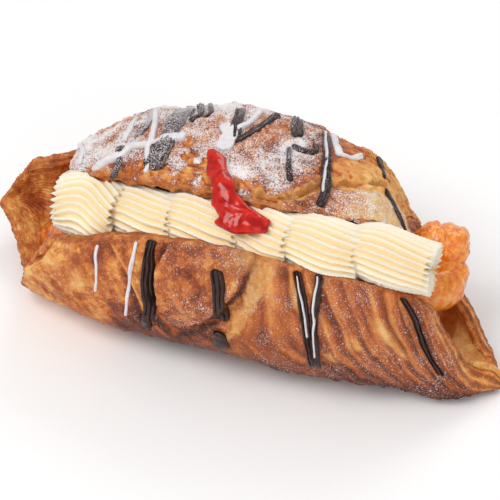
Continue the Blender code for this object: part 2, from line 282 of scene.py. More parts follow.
def saw(lead, sharp):
    """Straight rise from 0 to 1 up to the share sharp of each unit of lead, then a drop."""
    f = lead - np.floor(lead)
    return np.where(f < sharp, f / sharp, 1.0) * (1 - ease(f, sharp, 1.0))


def crust(x, angle, p):
    """Height of the crust over the smooth skin and its looks at the same points.

    Returns height in millimetres, then the crust's tone (its baking colour with some painted shade and
    painted light), crumb, sugar and calm, each from 0 to 1.
    The front carries fans of thin overlapping layers that step down to the
    right, a pressed pad of dough, and a pale torn strip; the lid carries
    terraces of flaked crust, a torn place and a long crack that shows crumb.
    """
    slow = cloud(p, 12.0, 3)
    fine = cloud(p, 3.6, 7)
    flakes = ease(cloud(p, 4.5, 13), 0.12, 0.22) + ease(cloud(p, 7.5, 15), 0.05, 0.13)
    height = 0.75 * slow + 0.24 * fine + 0.12 * noise(p, 1.1, 11) + 0.30 * flakes
    blotch = 0.27 * cloud(p, 13.0, 21) + 0.12 * cloud(p, 4.0, 25)
    crumb = np.zeros_like(height)
    front = ease(-angle, -110.0, -80.0)
    lid = ease(angle, 170.0, 200.0)

    # overlapping layers fanning down to the right of the front
    drop = np.clip((angle + 30.0) / 50.0, -0.4, 2.2)
    lead = x - 17.0 * drop * ease(x, 4.0, 42.0) + 1.6 * slow + 0.25 * fine
    fan = front * ease(x, 8.0, 18.0) * (1 - ease(x, 78.0, 88.0))
    bake_and_shade = 0.50 + blotch * (1 - 0.55 * fan - 0.35 * lid) - 0.08 * (flakes - 1.0) * (1 - fan)
    streak = noise(np.stack([lead, 0.075 * angle, 0 * x], -1), 1.9, 27)
    streak = streak + 0.6 * noise(np.stack([lead, 0.11 * angle, 0 * x], -1), 0.9, 28)
    step = saw((lead + 1.4 * noise(np.stack([lead, 0 * lead, 0 * lead], -1), 9.0, 17)) / 6.4, 0.86)
    thin = saw(lead / 2.1, 0.75)
    height = height + fan * (0.80 * step + 0.10 * thin + 0.16 * streak)
    bake_and_shade = bake_and_shade + fan * (0.05 + 0.30 * (step - 0.5) + 0.08 * (thin - 0.5) + 0.15 * streak)

    # layers left of the pad, leaning the other way
    lead_left = x - 0.24 * angle + 1.8 * slow
    side = front * (1 - ease(x, -24.0, -19.0))
    step_left = saw(lead_left / 9.0 + 0.35, 0.9)
    height = height + side * 0.45 * step_left
    streak_left = noise(np.stack([lead_left, 0.11 * angle, 0 * x], -1), 1.8, 29)
    height = height + side * 0.12 * streak_left
    bake_and_shade = bake_and_shade + side * (0.10 * (step_left - 0.5) + 0.10 * streak_left)
    groove = np.exp(-(near(x, angle, (-35, -27), (-28, -15), (-24, 2), (-21, 27)) / 1.1) ** 2)
    height = height - 0.9 * groove
    # painted shade darkens the groove
    bake_and_shade = bake_and_shade + 0.22 * groove
    seam = near(x, angle, (-33.4, -27), (-26.4, -15), (-22.4, 2), (-19.4, 27))
    bake_and_shade = bake_and_shade - 0.34 * np.exp(-(seam / 0.6) ** 2)
    crumb = np.maximum(crumb, 0.45 * np.exp(-(seam / 0.5) ** 2))

    # edge of the outer layer that laps over the left end
    gap = x + 57.0 + 0.44 * (angle + 18.0) + 1.2 * slow + 0.5 * fine
    flap = front * ease(gap, -0.5, 0.5)
    height = height + 1.3 * flap * ease(-gap, -14.0, 0.0) - 0.8 * np.exp(-((gap + 0.9) / 0.8) ** 2) * front
    rim = front * np.exp(-((gap - 1.9) / 2.0) ** 2)
    leaves = 0.5 + 0.5 * np.cos(4.2 * gap)
    height = height + 0.35 * rim * (leaves - 0.5)
    bake_and_shade = bake_and_shade + rim * (0.22 * leaves - 0.30) + 0.16 * front * (1 - flap)

    # pad of dough pressed on to the front
    flank = np.abs((x + 4.5 + 0.20 * (angle + 10.0)) / 14.4) ** 1.55
    below = np.clip((angle + 19.0) / 36.5, 0, 2) ** 1.25
    edge = 1.0 - flank - below + 0.07 * fine
    pad = ease(edge, 0.0, 0.14)
    height = height + pad * (2.3 + 0.6 * ease(edge, 0.0, 1.0))
    height = height + pad * (0.5 * ease(cloud(p, 5.0, 19), -0.05, 0.10) + 0.3 * noise(p, 2.0, 20))
    ring = front * ease(edge, -0.9, -0.05) * (1 - ease(edge, 0.0, 0.12)) * ease(angle, -18.0, -4.0)
    ring = ring * (1 - ease(x, 2.0, 8.0))
    layers = 0.5 + 0.5 * np.cos(17.0 * edge + 0.8 * fine)
    height = height + ring * 0.9 * (layers - 0.5)
    moat = np.exp(-((edge + 0.22) / 0.20) ** 2) * front * ease(angle, -32.0, -18.0)
    height = height - 1.3 * moat
    bake_and_shade = bake_and_shade + ring * (0.50 * layers - 0.18) - 0.09 * pad
    # painted shadow: a dark line along the pad's lower edge, where the crust also dips
    bake_and_shade = bake_and_shade + 0.45 * np.exp(-((edge + 0.03) / 0.09) ** 2) * ease(angle, -40.0, -15.0)
    height = height - 0.7 * np.exp(-((edge + 0.03) / 0.09) ** 2) * ease(angle, -40.0, -15.0)

    # blisters
    for bx, ba, size, tall in ((54, -24, 2.0, 0.9), (57, -19, 2.4, 1.0), (61, -13, 1.8, 0.7),
                               (48, -8, 1.6, 0.5), (41, 8, 1.8, 0.5), (-45, -5, 2.2, 0.5)):
        bump = np.exp(-(near(x, angle, (bx, ba), (bx + 1, ba + 3)) / size) ** 2)
        height = height + tall * bump
        bake_and_shade = bake_and_shade - 0.25 * bump
        crumb = np.maximum(crumb, 0.5 * bump)

    # pale torn strip right of the pad
    rip = near(x, angle, (18, -31), (16, -20), (14, -8), (10, 8), (6, 16))
    torn = ease(2.0 + 1.3 * fine + 1.5 * ease(-angle, 0.0, 30.0) - rip, 0.0, 0.8) * front
    crumb = np.maximum(crumb, 0.8 * torn)
    height = height - 0.25 * torn
    curl = np.exp(-(near(x, angle, (8, -31), (14, -33.5), (20, -34)) / 2.4) ** 2)
    height = height + 1.0 * curl
    crumb = np.maximum(crumb, 0.45 * curl * (1 + fine))

    # terraces of flaked crust on the lid
    level = 3.2 * cloud(p * np.array([1.0, 1.3, 1.3]), 15.0, 31) + 0.5 * fine + 10.0
    terrace = np.floor(level) + ease(level - np.floor(level), 0.86, 0.97)
    height = height + lid * 0.62 * (terrace - 10.0)
    rise = ease(level - np.floor(level), 0.72, 0.86) * (1 - ease(level - np.floor(level), 0.9, 1.0))
    bake_and_shade = bake_and_shade + lid * (0.22 * rise - 0.05)

    # crack across the lid and the slab below it
    rags = 1.2 * noise(p, 2.6, 37) + 0.7 * noise(p, 1.3, 38)
    line = near(x, angle, (6, 303), (15, 297), (22, 291), (27, 279), (33, 275), (40, 264), (47, 252))
    line = line + 0.8 * noise(p, 5.0, 35)
    open_crack = ease(1.2 + 0.9 * rags - line, 0.0, 0.7)
    pale = ease(2.6 + 1.5 * rags - line, 0.0, 1.2)
    height = height - 2.4 * open_crack + 0.9 * pale * rags
    crumb = np.maximum(crumb, 0.85 * pale * (1 - 0.6 * ease(0.3 + 0.5 * rags - line, 0.0, 0.6)))
    # painted shade inside the open crack
    bake_and_shade = bake_and_shade + 0.25 * open_crack
    slab = ease(angle - (303.0 - 1.15 * (x - 8.0)), 0.0, 6.0) * ease(x, 22.0, 28.0) * lid
    height = height + 0.9 * slab

    # ragged golden border where the lid was torn at its front
    verge = lid * ease(angle - through(LID_EDGE_X, LID_EDGE, x), -8.5, -3.0)
    verge = verge * ease(x, -56.0, -46.0) * (1 - ease(x, 4.0, 16.0))
    verge = np.clip(verge * (1.0 + 0.8 * rags), 0, 1)
    height = height + verge * (0.55 * rags - 0.4)
    bake_and_shade = bake_and_shade - verge * (0.10 + 0.14 * rags)

    # torn places left of the jam
    scar = near(x, angle, (-20, 279), (-16, 284), (-9, 289), (-12, 293), (-18, 287))
    tear = ease(1.5 + 1.3 * rags - scar, 0.0, 0.8)
    height = height - 0.8 * tear + 0.5 * tear * rags
    bake_and_shade = bake_and_shade + tear * (0.02 - 0.2 * rags)

    # darker below and towards the tips; the lower front is deeper brown, partly from baking and partly as
    # painted shade
    bake_and_shade = bake_and_shade + 0.24 * front * ease(angle, -12.0, 40.0) * ease(x, -44.0, -24.0)
    bake_and_shade = bake_and_shade - 0.13 * front * ease(-x, 22.0, 40.0) * ease(angle, -25.0, 10.0)
    bake_and_shade = bake_and_shade + 0.12 * ease(x, 66.0, 90.0) - 0.06 * ease(-x, 25.0, 60.0) * front - 0.04 * lid
    arc = np.cos(2 * np.pi * (angle / 3.4 + x / 15.0 + 0.7 * slow)) * lid * ease(x, 24.0, 36.0) * (1 - slab)
    bake_and_shade = bake_and_shade - 0.30 * lid * ease(x, 24.0, 40.0) + 0.07 * arc
    height = height + 0.13 * arc
    calm = np.maximum(fan, 0.8 * lid * ease(x, 22.0, 32.0))

    # powdered sugar: thick on the left and middle of the lid and on the slab
    drift = 0.62 + 0.38 * ease(cloud(p, 16.0, 45), -0.3, 0.4)
    sugar = lid * (0.78 * drift * ease(angle, 205.0, 240.0) * (1 - ease(x, 14.0, 32.0)))
    sugar = sugar + lid * (0.32 * slab + 0.10 + 0.12 * ease(x, 24.0, 34.0))
    sugar = sugar * (1 - 0.75 * tear) * (1 - 0.8 * pale) * (1 - 0.8 * verge)
    sugar = sugar + 0.19 * front + 0.13 * fan + 0.12 * front * pad
    sugar = sugar + 0.28 * (sugar > 0.05) * cloud(p, 7.0, 41) * (0.2 + sugar)
    return height, np.clip(bake_and_shade, 0, 1), np.clip(crumb, 0, 1), np.clip(sugar, 0, 1), calm


# ============================ mesh making ======================================
def tube_faces(stations, points):
    """Quads between rings, the last ring point joined back to the first, and two caps."""
    index = np.arange(stations * points).reshape(stations, points)
    after = np.roll(index, -1, axis=1)
    quads = np.stack([index[:-1], after[:-1], after[1:], index[1:]], -1).reshape(-1, 4)
    left = np.full(points, stations * points)
    caps = np.concatenate([np.stack([left, after[0], index[0]], -1),
                           np.stack([left + 1, index[-1], after[-1]], -1)])
    return quads, caps


def add_tube(name, rings, material, stands_for=(), looks=None, sharp=80.0):
    """A closed piece from rings (station, point, xyz) in millimetres.

    Each end is drawn to the middle of its last ring.  looks holds one value for
    every ring point and becomes a named attribute; caps take the ring's mean.
    """
    stations, points = rings.shape[:2]
    ends = np.stack([rings[0].mean(0), rings[-1].mean(0)])
    vertices = np.concatenate([rings.reshape(-1, 3), ends])
    quads, caps = tube_faces(stations, points)
    a, b, c = (vertices[quads[:, k]] for k in (0, 1, 2))
    middle = vertices.mean(0)
    a2, c2, d2 = (vertices[quads[:, k]] for k in (0, 2, 3))
    volume = np.einsum("ij,ij->i", a - middle, np.cross(b - middle, c - middle)).sum()
    volume = volume + np.einsum("ij,ij->i", a2 - middle, np.cross(c2 - middle, d2 - middle)).sum()
    if volume < 0:
        quads = quads[:, ::-1]
        caps = caps[:, ::-1]
    mesh = bpy.data.meshes.new(name)
    loops = np.concatenate([quads.ravel(), caps.ravel()]).astype(np.int32)
    sizes = np.concatenate([np.full(len(quads), 4), np.full(len(caps), 3)]).astype(np.int32)
    starts = np.concatenate([[0], np.cumsum(sizes)[:-1]]).astype(np.int32)
    mesh.vertices.add(len(vertices))
    mesh.vertices.foreach_set("co", ((vertices + SHIFT) * MM).astype(np.float32).ravel())
    mesh.loops.add(len(loops))
    mesh.loops.foreach_set("vertex_index", loops)
    mesh.polygons.add(len(sizes))
    mesh.polygons.foreach_set("loop_start", starts)
    mesh.update(calc_edges=True)
    mesh.validate()
    for key, values in (looks or {}).items():
        full = np.concatenate([values.ravel(), [values[0].mean(), values[-1].mean()]])
        layer = mesh.attributes.new(key, "FLOAT", "POINT")
        layer.data.foreach_set("value", full.astype(np.float32))
    mesh.materials.append(material)
    mesh.shade_smooth()
    mesh.set_sharp_from_angle(angle=np.radians(sharp))
    piece = bpy.data.objects.new(name, mesh)
    bpy.context.collection.objects.link(piece)
    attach(piece, "root")
    if stands_for:
        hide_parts(*stands_for)


# ============================ dough pieces =====================================
def stations_along(step):
    """Stations so spaced that neither edge of the dough moves more than step between two."""
    fine = np.linspace(LEFT_TIP + END_CLEARANCE, RIGHT_TIP - END_CLEARANCE, 6000)
    moves = np.abs(np.diff(through(FRONT_LIP_X, FRONT_LIP, fine))) * 0.45
    moves = np.maximum(moves, np.abs(np.diff(through(LID_EDGE_X, LID_EDGE, fine))) * 0.45)
    moves = np.hypot(np.diff(fine), moves) + 0.004 / (0.02 + taper(fine[1:]))
    total = np.concatenate([[0.0], np.cumsum(moves)])
    return np.interp(np.linspace(0, total[-1], int(total[-1] / step)), total, fine)


def strip(x, parts):
    """Grid of smooth points over the dough's section, part by part.

    Each part is (kind, from, to, count): skin takes angles or the names lip and
    lid for its edges, pocket takes shares from the front lip to the lid, and
    front_edge and lid_edge are the rounded edges.  Returns points, the angle
    that each belongs to and how far it is inside (0 skin, 1 pocket).
    """
    first = through(FRONT_LIP_X, FRONT_LIP, x)[:, None]
    last = through(LID_EDGE_X, LID_EDGE, x)[:, None]
    points, angles, inside = [], [], []
    for kind, start, end, count in parts:
        share = np.linspace(0.0, 1.0, count)
        if kind == "skin":
            low = {"lip": first, "lid": last}.get(start, start)
            high = {"lip": first, "lid": last}.get(end, end)
            low = np.clip(low + 0 * first, first, last)
            high = np.clip(high + 0 * first, first, last)
            angle = low + share[None] * (high - low)
            points.append(skin(x[:, None] + 0 * angle, angle))
            inside.append(0 * angle)
        elif kind == "pocket":
            points.append(pocket_wall(x, start + share * (end - start)))
            angle = first + (start + share * (end - start))[None] * (last - first)
            inside.append(1 + 0 * angle)
        else:
            at, turn = (first, 0.0) if kind == "front_edge" else (last, 1.0)
            outer = skin(x[:, None] + 0 * at, at)
            inner = pocket_wall(x, np.array([turn]))
            outward = tangent(x[:, None] + 0 * at, at) * (1 if turn else -1)
            arc = lip_arc(outer, inner, outward, np.linspace(0, 1, count + 2)[1:-1])
            share = np.linspace(0, 1, count + 2)[1:-1]
            if start > end:
                arc = arc[:, ::-1]
                share = share[::-1]
            points.append(arc)
            angle = at + 0 * share[None]
            inside.append(share[None] + 0 * angle)
        angles.append(angle)
    face = trim_right_end(clear_channel(np.concatenate(points, 1)))
    return face, np.concatenate(angles, 1), np.concatenate(inside, 1)


def add_dough(name, x, parts, material, stands_for):
    """One closed sheet of dough: its face and, SHEET millimetres behind it, a plain back.

    The face is the smooth section moved outward by the height of the crust, which
    gives way across each rounded edge to folds and then to the pocket's own relief.
    """
    smooth, angle, inside = strip(x, parts)
    place = x[:, None] + 0 * angle
    across = np.gradient(smooth, axis=1)
    along = np.gradient(smooth, axis=0)
    outward = unit(np.cross(across, along))
    height, bake_and_shade, crumb, sugar, calm = crust(place, angle, smooth)
    rim = np.clip(inside, 0, 1) * (1 - ease(inside, 0.9, 1.0))
    left = ease(-place, 58.0, 68.0)
    right = ease(place, 60.0, 68.0)
    bands = np.cos(2 * np.pi * (angle / 5.0 + place / 14.0 + 0.8 * cloud(smooth, 9.0, 59)))
    arcs = np.cos(2 * np.pi * (place / 9.0 + angle / 4.2 + 0.5 * cloud(smooth, 9.0, 58)))
    plain = 0.22 * cloud(smooth, 5.0, 51) + 0.12 * noise(smooth, 1.3, 55)
    plain = plain + left * (0.9 * cloud(smooth, 5.0, 52) + 0.16 * bands) + right * 0.13 * arcs
    folds = np.cos(2 * np.pi * (3.5 * inside + 0.25 * cloud(smooth, 9.0, 57)))
    on_rim = ease(inside, 0.02, 0.15) * (1 - ease(inside, 0.85, 0.98))
    height = height * (1 - ease(inside, 0.0, 0.35)) + plain * ease(inside, 0.0, 0.35)
    ragged = ease(angle, 230.0, 260.0) * ease(place, -58.0, -50.0)
    height = height + on_rim * (0.30 * folds + (0.5 + 0.9 * ragged) * cloud(smooth, 3.4, 67))
    height = height + 0.6 * on_rim * ragged * noise(smooth, 1.6, 68)
    deep_left = 0.32 + 0.40 * cloud(smooth, 6.0, 61) + 0.09 * bands
    # painted light: the right end's golden inner wall is made paler still to offset the shade in the pocket
    deep_right = 0.12 + 0.10 * cloud(smooth, 8.0, 61) + 0.09 * arcs
    deep = deep_left * left + deep_right * right + 0.35 * (1 - left - right)
    stain = left * ease(place, -84.0, -66.0) + right * (1 - ease(place, 66.0, 76.0))
    stain = ease(inside, 0.5, 1.0) * stain
    edge_tone = 0.46 + 0.20 * folds * (0.4 + right) + 0.16 * cloud(smooth, 4.0, 63)
    bake_and_shade = bake_and_shade * (1 - ease(inside, 0.0, 0.2)) + deep * ease(inside, 0.8, 1.0) + \
        edge_tone * ease(inside, 0.0, 0.2) * (1 - ease(inside, 0.8, 1.0))
    crumb = crumb * (1 - ease(inside, 0.0, 0.4)) + 0.25 * on_rim * ease(folds, 0.2, 0.9)
    sugar = sugar * (1 - 0.85 * ease(inside, 0.1, 0.6)) + 0.04 * right * ease(inside, 0.6, 1.0)
    gentle = np.clip(taper(place) * 1.1, 0, 1)
    rough = smooth + outward * (height * gentle)[..., None]
    rough[..., 2] = np.maximum(rough[..., 2], 0.0)
    back = smooth - outward * (SHEET * np.clip(taper(place), 0.05, 1))[..., None]
    back[..., 2] = np.maximum(back[..., 2], 0.05)
    thin = np.unique(np.linspace(0, smooth.shape[1] - 1, 14).astype(int))[::-1]
    rings = np.concatenate([rough, back[:, thin]], 1)

    looks = {"bake_and_shade": bake_and_shade, "crumb": crumb, "sugar": sugar, "stain": stain,
             "calm": calm * (1 - ease(inside, 0.0, 0.4))}
    looks = {key: np.concatenate([part, part[:, thin]], 1) for key, part in looks.items()}
    add_tube(name, rings, material, stands_for, looks, 55.0)


# ============================ materials ========================================
class Value:
    """A shader value that can be used in ordinary arithmetic."""

    def __init__(self, tree, socket):
        self.tree = tree
        self.socket = socket

    def math(self, operation, *others):
        """A Math node's result from this value and the others, values or plain numbers."""
        node = self.tree.nodes.new("ShaderNodeMath")
        node.operation = operation
        for slot_, item in zip(node.inputs, (self,) + others):
            if isinstance(item, Value):
                self.tree.links.new(item.socket, slot_)
            else:
                slot_.default_value = item
        return Value(self.tree, node.outputs[0])

    def __add__(self, other):
        return self.math("ADD", other)

    __radd__ = __add__

    def __sub__(self, other):
        return self.math("SUBTRACT", other)

    def __rsub__(self, other):
        return (self * -1.0) + other

    def __mul__(self, other):
        return self.math("MULTIPLY", other)

    __rmul__ = __mul__

    def between(self, low, high):
        """0 below low, 1 above high, smooth between."""
        node = self.tree.nodes.new("ShaderNodeMapRange")
        node.interpolation_type = "SMOOTHSTEP"
        self.tree.links.new(self.socket, node.inputs["Value"])
        for key, item in (("From Min", low), ("From Max", high)):
            if isinstance(item, Value):
                self.tree.links.new(item.socket, node.inputs[key])
            else:
                node.inputs[key].default_value = item
        return Value(self.tree, node.outputs["Result"])


class Paint:
    """A Principled material put together from values."""

    def __init__(self, name, **constants):
        self.material = bpy.data.materials.new(name)
        self.material.use_nodes = True
        self.tree = self.material.node_tree
        self.shader = self.tree.nodes["Principled BSDF"]
        for key, item in constants.items():
            self.shader.inputs[key.replace("_", " ")].default_value = item

    def node(self, kind, settings=None, **inputs):
        """Any other node, by type, settings and inputs; returns the node."""
        made = self.tree.nodes.new(kind)
        for key, item in (settings or {}).items():
            setattr(made, key, item)
        for key, item in inputs.items():
            self.join(item, made.inputs[key.replace("_", " ")])
        return made

    def join(self, item, target):
        """Link a value or socket to the target socket, or write a plain number or colour."""
        if isinstance(item, Value):
            self.tree.links.new(item.socket, target)
        elif isinstance(item, bpy.types.NodeSocket):
            self.tree.links.new(item, target)
        else:
            target.default_value = item

    def attribute(self, name):
        """One of the looks stored with the piece's points."""
        made = self.node("ShaderNodeAttribute", {"attribute_name": name})
        return Value(self.tree, made.outputs["Fac"])

    def grain(self, size, detail, rough):
        """Noise in object space with features about size millimetres across."""
        where = self.node("ShaderNodeTexCoord").outputs["Object"]
        made = self.node("ShaderNodeTexNoise", Vector=where, Scale=1.0 / (size * MM),
                         Detail=detail, Roughness=rough)
        return Value(self.tree, made.outputs[0])

    def ramp(self, value, *stops):
        """Colour from (place, (r, g, b)) stops."""
        made = self.node("ShaderNodeValToRGB", Fac=value)
        band = made.color_ramp
        while len(band.elements) < len(stops):
            band.elements.new(0.5)
        for element, (place, colour) in zip(band.elements, stops):
            element.position = place
            element.color = (*colour, 1.0)
        return made.outputs["Color"]

    def mix(self, share, a, b):
        """Colour a where share is 0, b where it is 1."""
        made = self.node("ShaderNodeMix", {"data_type": "RGBA"})
        self.join(share, made.inputs[0])
        for item, target in ((a, made.inputs[6]), (b, made.inputs[7])):
            self.join((*item, 1.0) if isinstance(item, tuple) else item, target)
        return made.outputs[2]

    def finish(self, colour, bump=None, strength=0.3, distance=0.2, **varying):
        """Join the colour, what else varies and a bump (distance in millimetres)."""
        self.join(colour, self.shader.inputs["Base Color"])
        for key, item in varying.items():
            self.join(item, self.shader.inputs[key.replace("_", " ")])
        if bump is not None:
            made = self.node("ShaderNodeBump", Height=bump)
            made.inputs["Strength"].default_value = strength
            made.inputs["Distance"].default_value = distance * MM
            self.join(made.outputs["Normal"], self.shader.inputs["Normal"])
        return self.material


SUGAR_WHITE = (0.90, 0.88, 0.89)


def dusted(paint, density):
    """Share of powdered sugar: fine specks that close up as the density grows."""
    specks = paint.grain(0.50, 3.0, 0.70)
    drifts = paint.grain(3.5, 3.0, 0.6)
    cover = density * (0.45 + 1.1 * drifts)
    return specks.between(0.69 - 0.41 * cover, 0.81 - 0.39 * cover)


def paint_dough():
    """Baked crust: a scale from pale gold to deep caramel, flaked and speckled; the scale also carries
    painted shade and painted light.
    """
    paint = Paint("baked_dough", Subsurface_Weight=0.06, Subsurface_Scale=0.002,
                  Subsurface_Radius=(1.0, 0.5, 0.25), Specular_IOR_Level=0.4)
    mottle = paint.grain(2.8, 7.0, 0.72)
    tiny = paint.grain(0.6, 3.0, 0.6)
    flake = paint.grain(3.4, 6.0, 0.68).between(0.47, 0.55)
    chip = paint.grain(1.3, 4.0, 0.65).between(0.52, 0.60)
    calm = 1.0 - 0.7 * paint.attribute("calm")
    # the tone attribute holds the crust's baking colour together with the painted shade and painted light
    # set into it
    bake_and_shade = paint.attribute("bake_and_shade") + 0.26 * (mottle - 0.5) * calm + 0.16 * (tiny - 0.5)
    bake_and_shade = bake_and_shade - 0.17 * (flake - 0.5) * calm - 0.12 * (chip - 0.4) * calm
    baked = paint.ramp(bake_and_shade, (0.0, (0.86, 0.53, 0.18)), (0.20, (0.78, 0.35, 0.086)),
                       (0.40, (0.60, 0.178, 0.032)), (0.58, (0.38, 0.078, 0.012)),
                       (0.78, (0.17, 0.031, 0.005)), (1.0, (0.07, 0.014, 0.004)))
    torn = paint.ramp(mottle + 0.3 * (tiny - 0.5), (0.30, (0.55, 0.19, 0.038)),
                      (0.50, (0.74, 0.37, 0.11)), (0.68, (0.86, 0.56, 0.23)))
    colour = paint.mix(paint.attribute("crumb"), baked, torn)
    colour = paint.mix(paint.attribute("stain") * 0.75, colour, (0.52, 0.12, 0.012))
    sugar = dusted(paint, paint.attribute("sugar"))
    colour = paint.mix(sugar * 0.9, colour, SUGAR_WHITE)
    rough = 0.50 - 0.18 * paint.attribute("stain") + 0.30 * (tiny - 0.5) + 0.10 * flake
    rough = rough + 0.4 * sugar + 0.25 * paint.attribute("crumb")
    bump = mottle * 0.5 + tiny * 0.35 + flake * 0.22 + chip * 0.22 + sugar * 0.4
    return paint.finish(colour, bump, 0.75, 0.40, Roughness=rough)


def paint_cream():
    """Soft vanilla cream with painted shade: darker, warmer valleys between pale crests."""
    paint = Paint("piped_cream", Subsurface_Weight=0.20, Subsurface_Scale=0.003,
                  Subsurface_Radius=(1.0, 0.7, 0.35), Specular_IOR_Level=0.35)
    soft = paint.grain(1.6, 3.0, 0.5)
    valley = paint.attribute("valley")
    # painted shade: the valleys are coloured darker and warmer than the pale crests
    colour = paint.mix(valley, (0.91, 0.84, 0.69), (0.92, 0.71, 0.40))
    return paint.finish(colour, soft, 0.12, 0.15, Roughness=0.42 + 0.12 * soft)


def paint_jam():
    """Clear red jam with an uneven wet gloss."""
    paint = Paint("red_jam", Specular_IOR_Level=0.38)
    soft = paint.grain(3.0, 2.0, 0.5)
    colour = paint.ramp(soft, (0.35, (0.36, 0.003, 0.002)), (0.65, (0.66, 0.018, 0.006)))
    return paint.finish(colour, soft, 0.2, 0.6, Roughness=0.08 + 0.16 * soft)


def paint_apricot():
    """Cooked apricot, orange to brown, glossy and a little dusted."""
    paint = Paint("apricot", Subsurface_Weight=0.15, Subsurface_Scale=0.003,
                  Subsurface_Radius=(1.0, 0.35, 0.08), Specular_IOR_Level=0.55)
    soft = paint.grain(2.6, 4.0, 0.6)
    pulp = paint.grain(1.1, 3.0, 0.6)
    # darker at the left end, partly browner baked apricot and partly painted shade where it lies deep in
    # the trough
    tone = soft + 0.35 * (pulp - 0.5) - 0.22 * paint.attribute("deep")
    colour = paint.ramp(tone, (0.15, (0.30, 0.05, 0.006)), (0.34, (0.74, 0.15, 0.008)),
                        (0.50, (0.90, 0.26, 0.018)), (0.68, (0.95, 0.43, 0.07)))
    sugar = dusted(paint, paint.attribute("sugar"))
    colour = paint.mix(sugar * 0.8, colour, (0.92, 0.74, 0.60))
    return paint.finish(colour, soft + 0.5 * pulp + 0.3 * sugar, 0.5, 0.6,
                        Roughness=0.18 + 0.4 * sugar, Coat_Weight=0.25 * soft)


def paint_chocolate():
    """Dark chocolate, satin, dusted where sugar fell on it."""
    paint = Paint("chocolate", Specular_IOR_Level=0.4)
    soft = paint.grain(1.8, 3.0, 0.6)
    colour = paint.ramp(soft, (0.3, (0.016, 0.006, 0.005)), (0.7, (0.045, 0.016, 0.011)))
    sugar = dusted(paint, paint.attribute("sugar"))
    colour = paint.mix(sugar * 0.9, colour, (0.62, 0.57, 0.58))
    return paint.finish(colour, soft + 0.5 * sugar, 0.3, 0.3, Roughness=0.30 + 0.4 * sugar)


def paint_icing():
    """White sugar icing."""
    paint = Paint("icing", Subsurface_Weight=0.1, Subsurface_Scale=0.001)
    soft = paint.grain(1.5, 3.0, 0.6)
    colour = paint.ramp(soft, (0.3, (0.68, 0.65, 0.67)), (0.7, (0.80, 0.77, 0.79)))
    return paint.finish(colour, soft, 0.2, 0.3, Roughness=0.45)


# ============================ toppings =========================================
def add_cream(number, material):
    """One piped shell: it starts pinched, swells, and ends blunt and saw-toothed.

    Radius = nozzle radius x swell along the shell - a round valley between
    narrow crests.  At the blunt end each crest runs forward past its valleys
    and over the pinched start of the next shell; the last rings close that end
    as a hollowed face.  The first shell's head is saw-toothed as well.
    """
    first = number == 1
    start, end = SHELL_ENDS[number - 1] - 1.8 * (number > 1) - 1.0, SHELL_ENDS[number] + 0.6
    radius = SHELL_RADII[number - 1]
    share = np.concatenate([[-0.02, -0.01], np.linspace(0.0, 0.98, 66), [0.99, 1.0, 1.01, 1.02]])
    turn = np.linspace(0, 2 * np.pi, SHELL_RIDGES * 14, endpoint=False)
    share, turn = np.meshgrid(share, turn, indexing="ij")
    run = np.clip(share, 0, 1)
    bow = 0.55 * np.sin(np.pi * run) if first else 0.10 * np.sin(np.pi * run)
    lean = turn - 0.22 * run + 0.3 * number + bow + 0.03 * np.sin(5 * turn + number)
    crest = 1 - np.abs(np.sin(lean * SHELL_RIDGES / 2)) ** 0.9
    low, rise = (0.74, 0.50) if first else (0.72, 0.58)
    swell = low + (1 - low) * np.sin(np.pi / 2 * np.clip(run / rise, 0, 1)) ** 0.8
    swell = swell * (1 - 0.09 * ease(run, 0.7, 1.0)) * (1 + 0.02 * np.sin(5 * run + number))
    tail = np.clip((share - 1.0) / 0.02, 0, 1)
    head = np.clip(-share / 0.02, 0, 1)
    x = start + (end - start) * run - 1.0 * tail + 0.5 * head
    x = x + 2.3 * crest * ease(run, 0.70, 1.0)
    x = x - 2.2 * crest * (1 - ease(run, 0.0, 0.30)) * first
    centre = spine(np.clip(x, -66, 72))
    centre[..., 1] -= 1.7 * ease(run, 0.1, 0.8) - 0.7
    centre[..., 2] -= 0.9 * ease(run, 0.1, 0.8) - 0.5
    wobble = 0.30 * np.sin(3 * turn + number) + 0.2 * np.sin(7 * run + 2 * number)
    reach = radius * swell + wobble - 1.6 * (1 - crest) * (0.25 + 0.75 * swell)
    reach = reach * (1 - 0.8 * tail) * (1 - 0.8 * head)
    ring = centre + reach[..., None] * np.stack([0 * turn, np.cos(turn), np.sin(turn)], -1)
    ring[..., 0] = x
    ring = ring + 0.12 * cloud(ring, 2.5, 90 + number)[..., None] * unit(ring - centre)
    # the valley value places the painted shade on the cream
    looks = {"valley": np.clip(1 - ease(crest, 0.08, 0.60), 0, 1)}
    name = "cream_shell_%d" % number
    add_tube(name, ring, material, [name], looks)


